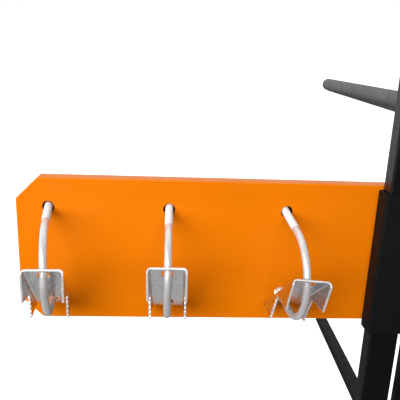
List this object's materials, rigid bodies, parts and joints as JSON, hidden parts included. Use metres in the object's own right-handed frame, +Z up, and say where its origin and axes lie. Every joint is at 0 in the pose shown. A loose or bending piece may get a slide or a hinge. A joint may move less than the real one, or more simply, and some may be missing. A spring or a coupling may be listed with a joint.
{
  "type": "clamp hook tool panel",
  "caption": "Orange steel panel with toothed-saddle U-bolt clamp hooks, on a black sleeve that slides on an upright post with a top arm and rear foot.",
  "frame": {"origin": "centre of the main post's flat foot", "axes": "+Z up along the post, -Y out of the panel's front, +X from the panel's free end towards the posts"},
  "size_m": [0.433, 0.3767, 0.45],
  "materials": {
    "panel_paint": "glossy orange powder coat",
    "frame_paint": "satin black paint, fine texture",
    "arm_paint": "matte charcoal paint",
    "zinc": "bright zinc plating",
    "saddle_zinc": "zinc-plated pressed sheet",
    "black_plastic": "moulded black plastic"
  },
  "bodies": {
    "frame": {"main_post": "frame_paint", "side_post": "frame_paint", "main_post_cap_bottom": "black_plastic", "main_post_cap_top": "black_plastic", "side_post_cap_bottom": "black_plastic", "side_post_cap_top": "black_plastic", "post_tie_lower": "frame_paint", "post_tie_upper": "frame_paint", "top_arm": "arm_paint", "rear_foot": "frame_paint", "rear_foot_cap": "black_plastic"},
    "carriage": {"mounting_sleeve": "frame_paint", "tool_panel": "panel_paint", "panel_screw_1": "zinc", "panel_screw_2": "zinc", "panel_screw_3": "zinc", "panel_screw_4": "zinc"},
    "clamp_knob": {"clamp_knob": "black_plastic", "clamp_screw": "zinc"},
    "hook_left": {"u_bolt_left": "zinc", "washer_left_upper": "black_plastic", "washer_left_lower": "black_plastic", "hex_nut_left_upper": "zinc", "hex_nut_left_lower": "zinc"},
    "saddle_left": {"toothed_saddle_left": "saddle_zinc"},
    "hook_middle": {"u_bolt_middle": "zinc", "washer_middle_upper": "black_plastic", "washer_middle_lower": "black_plastic", "hex_nut_middle_upper": "zinc", "hex_nut_middle_lower": "zinc"},
    "saddle_middle": {"toothed_saddle_middle": "saddle_zinc"},
    "hook_right": {"u_bolt_right": "zinc", "washer_right_upper": "black_plastic", "washer_right_lower": "black_plastic", "hex_nut_right_upper": "zinc", "hex_nut_right_lower": "zinc"},
    "saddle_right": {"toothed_saddle_right": "saddle_zinc"}
  },
  "joints": [
    {"name": "carriage_slide", "type": "slide", "parent": "frame", "child": "carriage", "axis": [0, 0, 1], "range_m": [-0.085, 0.07]},
    {"name": "clamp_knob_travel", "type": "slide", "parent": "carriage", "child": "clamp_knob", "axis": [0, 1, 0], "range_m": [0, 0.004]},
    {"name": "hook_lift_left", "type": "hinge", "parent": "carriage", "child": "hook_left", "pos_m": [-0.3515, 0.0131, 0.19], "axis": [-0.9907, -0.1357, 0], "range_deg": [0, 8]},
    {"name": "saddle_tilt_left", "type": "hinge", "parent": "hook_left", "child": "saddle_left", "pos_m": [-0.3475, -0.0035, 0.1886], "axis": [0.995, 0.096, -0.028], "range_deg": [-8, 2]},
    {"name": "hook_lift_middle", "type": "hinge", "parent": "carriage", "child": "hook_middle", "pos_m": [-0.2315, 0.0131, 0.19], "axis": [-1, 0.0052, 0], "range_deg": [0, 8]},
    {"name": "saddle_tilt_middle", "type": "hinge", "parent": "hook_middle", "child": "saddle_middle", "pos_m": [-0.2306, -0.0018, 0.1863], "axis": [0.9998, -0.019, 0.01], "range_deg": [-10, 2]},
    {"name": "hook_lift_right", "type": "hinge", "parent": "carriage", "child": "hook_right", "pos_m": [-0.1115, 0.0131, 0.19], "axis": [-0.9965, -0.0837, 0], "range_deg": [0, 8]},
    {"name": "saddle_tilt_right", "type": "hinge", "parent": "hook_right", "child": "saddle_right", "pos_m": [-0.1091, 0.0009, 0.1877], "axis": [0.9967, 0.014, -0.08], "range_deg": [-3, 4]}
  ]
}
